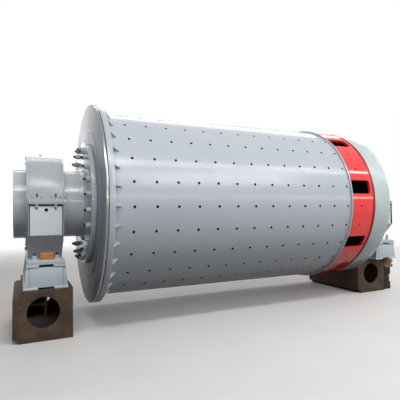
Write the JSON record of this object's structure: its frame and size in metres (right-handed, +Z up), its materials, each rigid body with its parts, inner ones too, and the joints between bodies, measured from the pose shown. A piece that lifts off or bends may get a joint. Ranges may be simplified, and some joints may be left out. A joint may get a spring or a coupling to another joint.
{
  "type": "rod mill",
  "caption": "Horizontal rod mill: steel drum with a ring of discharge windows, on hollow trunnions in two capped bearings over box stands.",
  "frame": {"origin": "on the floor, under the middle of the drum", "axes": "+X along the drum axis from the feed end to the discharge end, +Z up, -Y the side seen in the picture"},
  "size_m": [6.972, 2.9619, 3.241],
  "materials": {
    "shell_paint": "satin light blue-grey paint",
    "head_paint": "satin blue-grey paint",
    "trunnion_steel": "smooth grey paint over turned casting",
    "red_primer": "matt red primer",
    "end_ring_paint": "satin pale grey paint",
    "bearing_paint": "satin light grey paint",
    "bush_bronze": "bored bronze",
    "pedestal_paint": "satin pale grey-green paint",
    "stand_steel": "rusty brown plate",
    "block_timber": "sawn softwood",
    "plank_timber": "weathered boards",
    "sleeper_timber": "dark old sleepers"
  },
  "bodies": {
    "supports": {"feed_bearing_body": "bearing_paint", "feed_bearing_bush": "bush_bronze", "feed_bearing_cap": "bearing_paint", "feed_seal_rings": "bearing_paint", "feed_bearing_covers": "pedestal_paint", "feed_sole_plate": "pedestal_paint", "feed_pedestal_top": "pedestal_paint", "feed_pocket_plate": "pedestal_paint", "feed_pedestal_box": "pedestal_paint", "feed_pedestal_foot": "pedestal_paint", "feed_stand": "stand_steel", "feed_stand_web": "stand_steel", "discharge_bearing_body": "bearing_paint", "discharge_bearing_bush": "bush_bronze", "discharge_bearing_cap": "bearing_paint", "discharge_seal_rings": "bearing_paint", "discharge_bearing_covers": "pedestal_paint", "discharge_sole_plate": "pedestal_paint", "discharge_pedestal_top": "pedestal_paint", "discharge_pocket_plate": "pedestal_paint", "discharge_pedestal_box": "pedestal_paint", "discharge_pedestal_foot": "pedestal_paint", "discharge_stand": "stand_steel", "discharge_stand_web": "stand_steel", "timber_block": "block_timber", "packing_sleeper_1": "sleeper_timber", "packing_sleeper_2": "sleeper_timber", "packing_sleeper_3": "sleeper_timber", "packing_plank_1": "plank_timber", "packing_plank_2": "plank_timber", "packing_plank_3": "plank_timber", "packing_plank_4": "plank_timber"},
    "drum": {"shell": "shell_paint", "shell_flange": "shell_paint", "flange_gussets": "shell_paint", "feed_head": "head_paint", "feed_trunnion": "trunnion_steel", "feed_trunnion_flange": "trunnion_steel", "joint_ring": "shell_paint", "window_bridges": "red_primer", "discharge_ring": "red_primer", "end_ring": "end_ring_paint", "discharge_head": "head_paint", "discharge_trunnion": "trunnion_steel", "discharge_trunnion_flange": "trunnion_steel"}
  },
  "joints": [
    {"name": "drum_spin", "type": "hinge", "parent": "supports", "child": "drum", "pos_m": [0, 0, 1.76], "axis": [1, 0, 0], "continuous": true}
  ]
}
